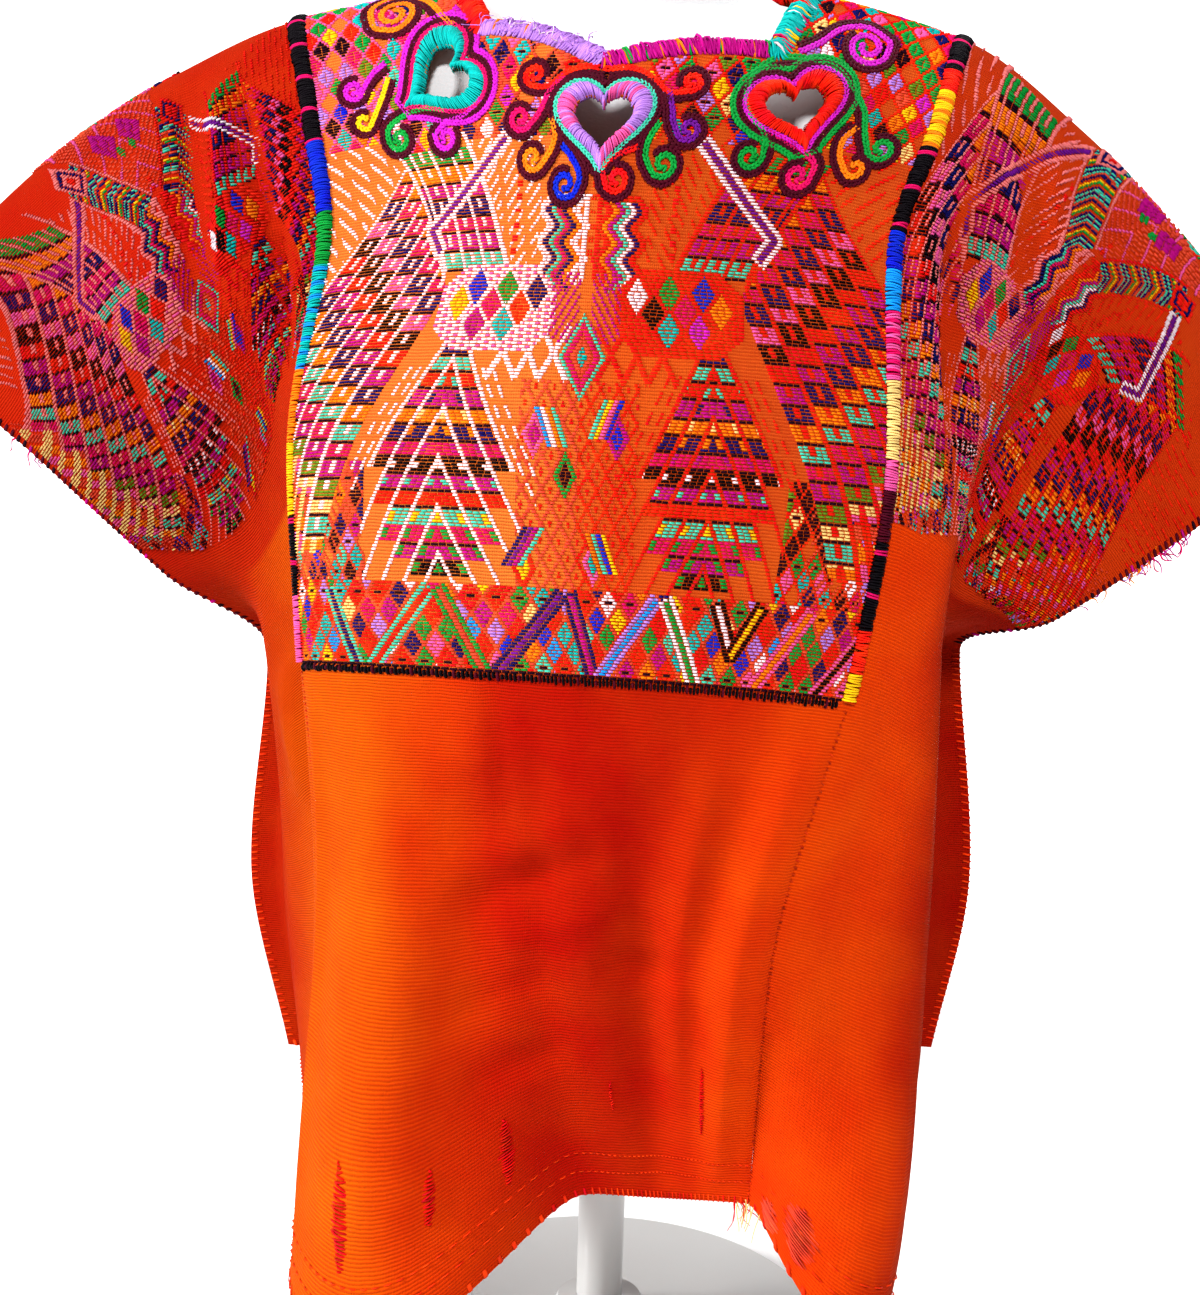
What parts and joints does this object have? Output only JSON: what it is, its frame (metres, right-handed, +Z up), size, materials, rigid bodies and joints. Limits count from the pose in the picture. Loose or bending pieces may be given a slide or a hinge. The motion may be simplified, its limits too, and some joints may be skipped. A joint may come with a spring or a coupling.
{
  "type": "huipil blouse on a dress form",
  "caption": "Loose woven huipil blouse with brocaded yoke and sleeves, bound scalloped neck and heart cut-outs, worn hollow on a limbless dress form with a round stand.",
  "frame": {"origin": "centre of the base plate's underside, on the floor", "axes": "+Z up; the front of the blouse faces -Y and the wearer's left is +X"},
  "size_m": [0.706, 0.3986, 0.8137],
  "materials": {
    "orange_cotton": "handwoven weft-ribbed cotton with a soft nap, brocaded in many colours above the waist",
    "joining_stitch": "close satin stitch in changing colours",
    "bound_edge": "buttonhole stitch in changing colours",
    "turquoise_satin": "satin stitch",
    "pink_satin": "satin stitch",
    "red_satin": "satin stitch",
    "white_jersey": "fine matt jersey over a firm form",
    "white_enamel": "satin enamel"
  },
  "bodies": {
    "root": {"centre_panel": "orange_cotton", "side_panel_right": "orange_cotton", "side_panel_left": "orange_cotton", "randa_right": "joining_stitch", "randa_left": "joining_stitch", "neck_binding": "bound_edge", "heart_rim_right": "turquoise_satin", "heart_rim_centre": "pink_satin", "heart_rim_left": "red_satin", "dress_form": "white_jersey", "neck_cap": "white_enamel", "pole": "white_enamel", "base_plate": "white_enamel"}
  },
  "joints": []
}
